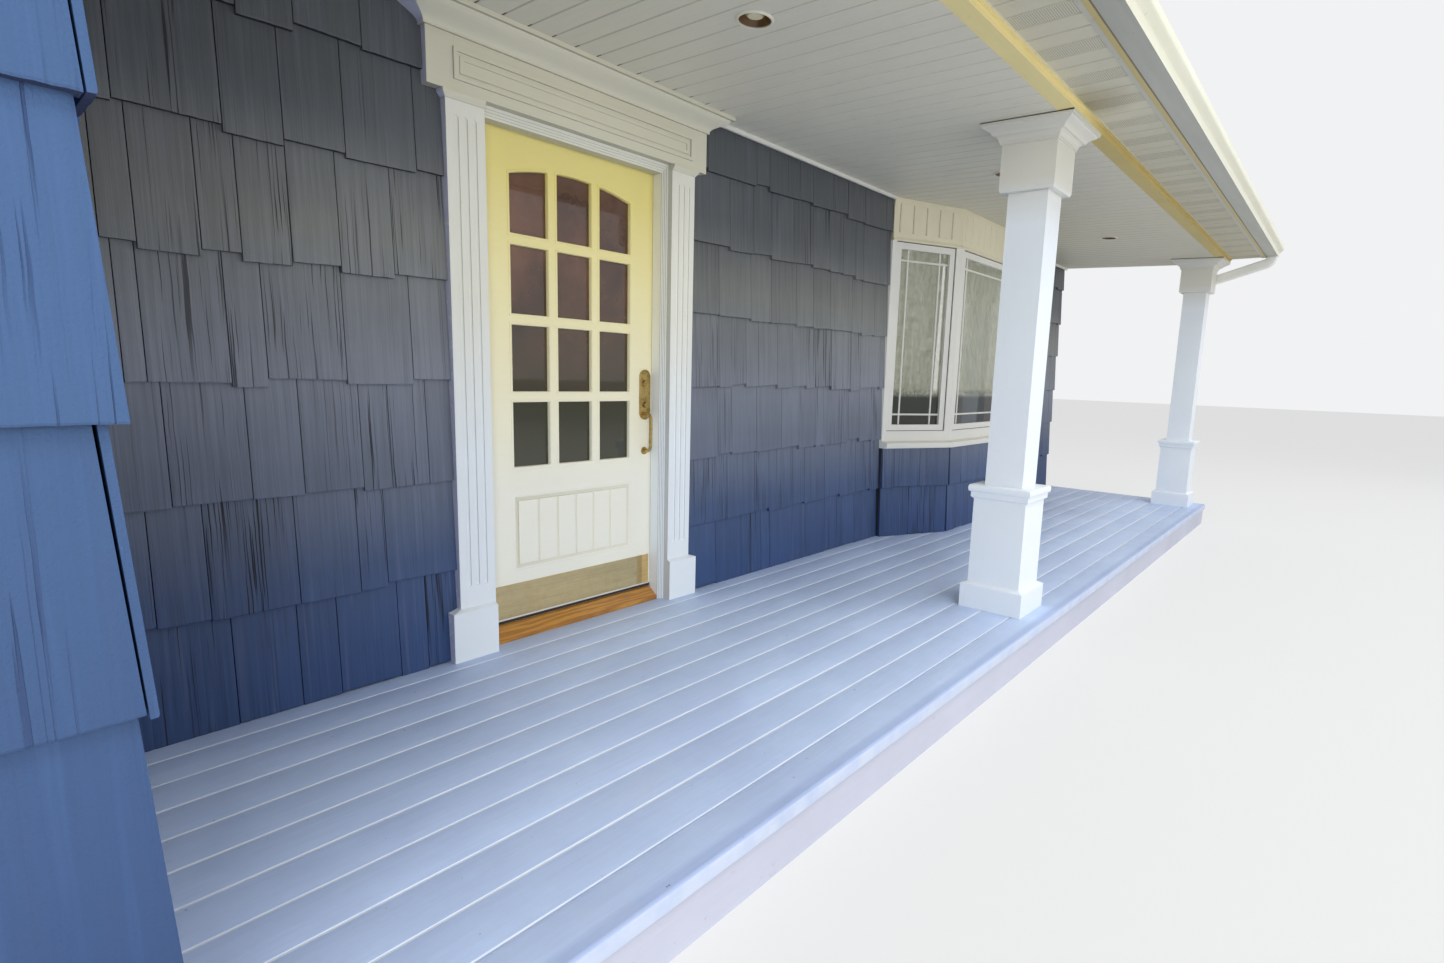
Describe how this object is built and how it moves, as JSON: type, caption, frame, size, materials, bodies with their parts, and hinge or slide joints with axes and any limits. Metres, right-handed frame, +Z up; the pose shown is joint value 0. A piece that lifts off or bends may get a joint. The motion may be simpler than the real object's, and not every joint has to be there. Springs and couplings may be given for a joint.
{
  "type": "front porch",
  "caption": "Recessed front porch of a shingled house: boxed columns on pedestals, bay window, and a glazed entrance door in a fluted surround under a mitred crown",
  "frame": {"origin": "ground level under the middle of the doorway, in the plane of the house wall's outer face behind its shingles", "axes": "+X along the house wall towards the far column, +Y into the house, +Z up"},
  "size_m": [9.12, 2.079, 3.2937],
  "materials": {
    "foundation": "cast concrete",
    "wall_core": "sheathed frame wall",
    "slate_shingles": "painted striated shingles",
    "blue_shingles": "painted striated shingles",
    "window_trim": "white paint",
    "window_glass": "clear",
    "cream_panel": "cream paint",
    "white_trim": "white paint",
    "oak": "golden varnish",
    "door_paint": "pale yellow paint",
    "door_glass": "clear",
    "brass": "polished",
    "aged_brass": "aged",
    "deck_paint": "worn lavender-grey paint",
    "raw_timber": "sawn",
    "column_paint": "white paint",
    "vinyl_panel": "off-white",
    "light_metal": "satin",
    "fascia_metal": "satin",
    "gutter_metal": "cream-white enamel",
    "roofing": "asphalt shingles"
  },
  "bodies": {
    "porch": {"foundation_wall": "foundation", "wall_left_of_door": "wall_core", "wall_right_of_door": "wall_core", "wall_over_door": "wall_core", "wall_at_bay": "wall_core", "wall_past_bay": "wall_core", "wing_front_wall": "wall_core", "wing_return_wall": "wall_core", "wing_side_wall": "wall_core", "wall_shingles": "slate_shingles", "wing_shingles": "blue_shingles", "bay_base": "wall_core", "bay_sill": "window_trim", "bay_posts": "window_trim", "bay_sashes": "window_trim", "bay_glass": "window_glass", "bay_head_panel": "cream_panel", "door_frame": "white_trim", "threshold": "oak", "pilasters": "white_trim", "plinth_blocks": "white_trim", "entablature": "white_trim", "door_crown": "white_trim", "jamb_hinges": "aged_brass", "deck_boards": "deck_paint", "deck_risers": "deck_paint", "deck_joists": "raw_timber", "pedestals": "column_paint", "pedestal_caps": "column_paint", "column_shafts": "column_paint", "capitals": "column_paint", "porch_beam": "cream_panel", "ceiling_panel": "vinyl_panel", "ceiling_trim": "white_trim", "recessed_lights": "light_metal", "eave_soffit": "vinyl_panel", "eave_fascia": "fascia_metal", "gutter": "gutter_metal", "downpipe": "gutter_metal", "roof": "roofing", "gable_panels": "white_trim"},
    "door": {"door_leaf": "door_paint", "door_glass": "door_glass", "kick_plate": "brass", "door_handle": "aged_brass", "leaf_hinges": "aged_brass"}
  },
  "joints": [
    {"name": "door_swing", "type": "hinge", "parent": "porch", "child": "door", "pos_m": [-0.4575, 0.109, 1.2485], "axis": [0, 0, 1], "range_deg": [0, 95]}
  ]
}
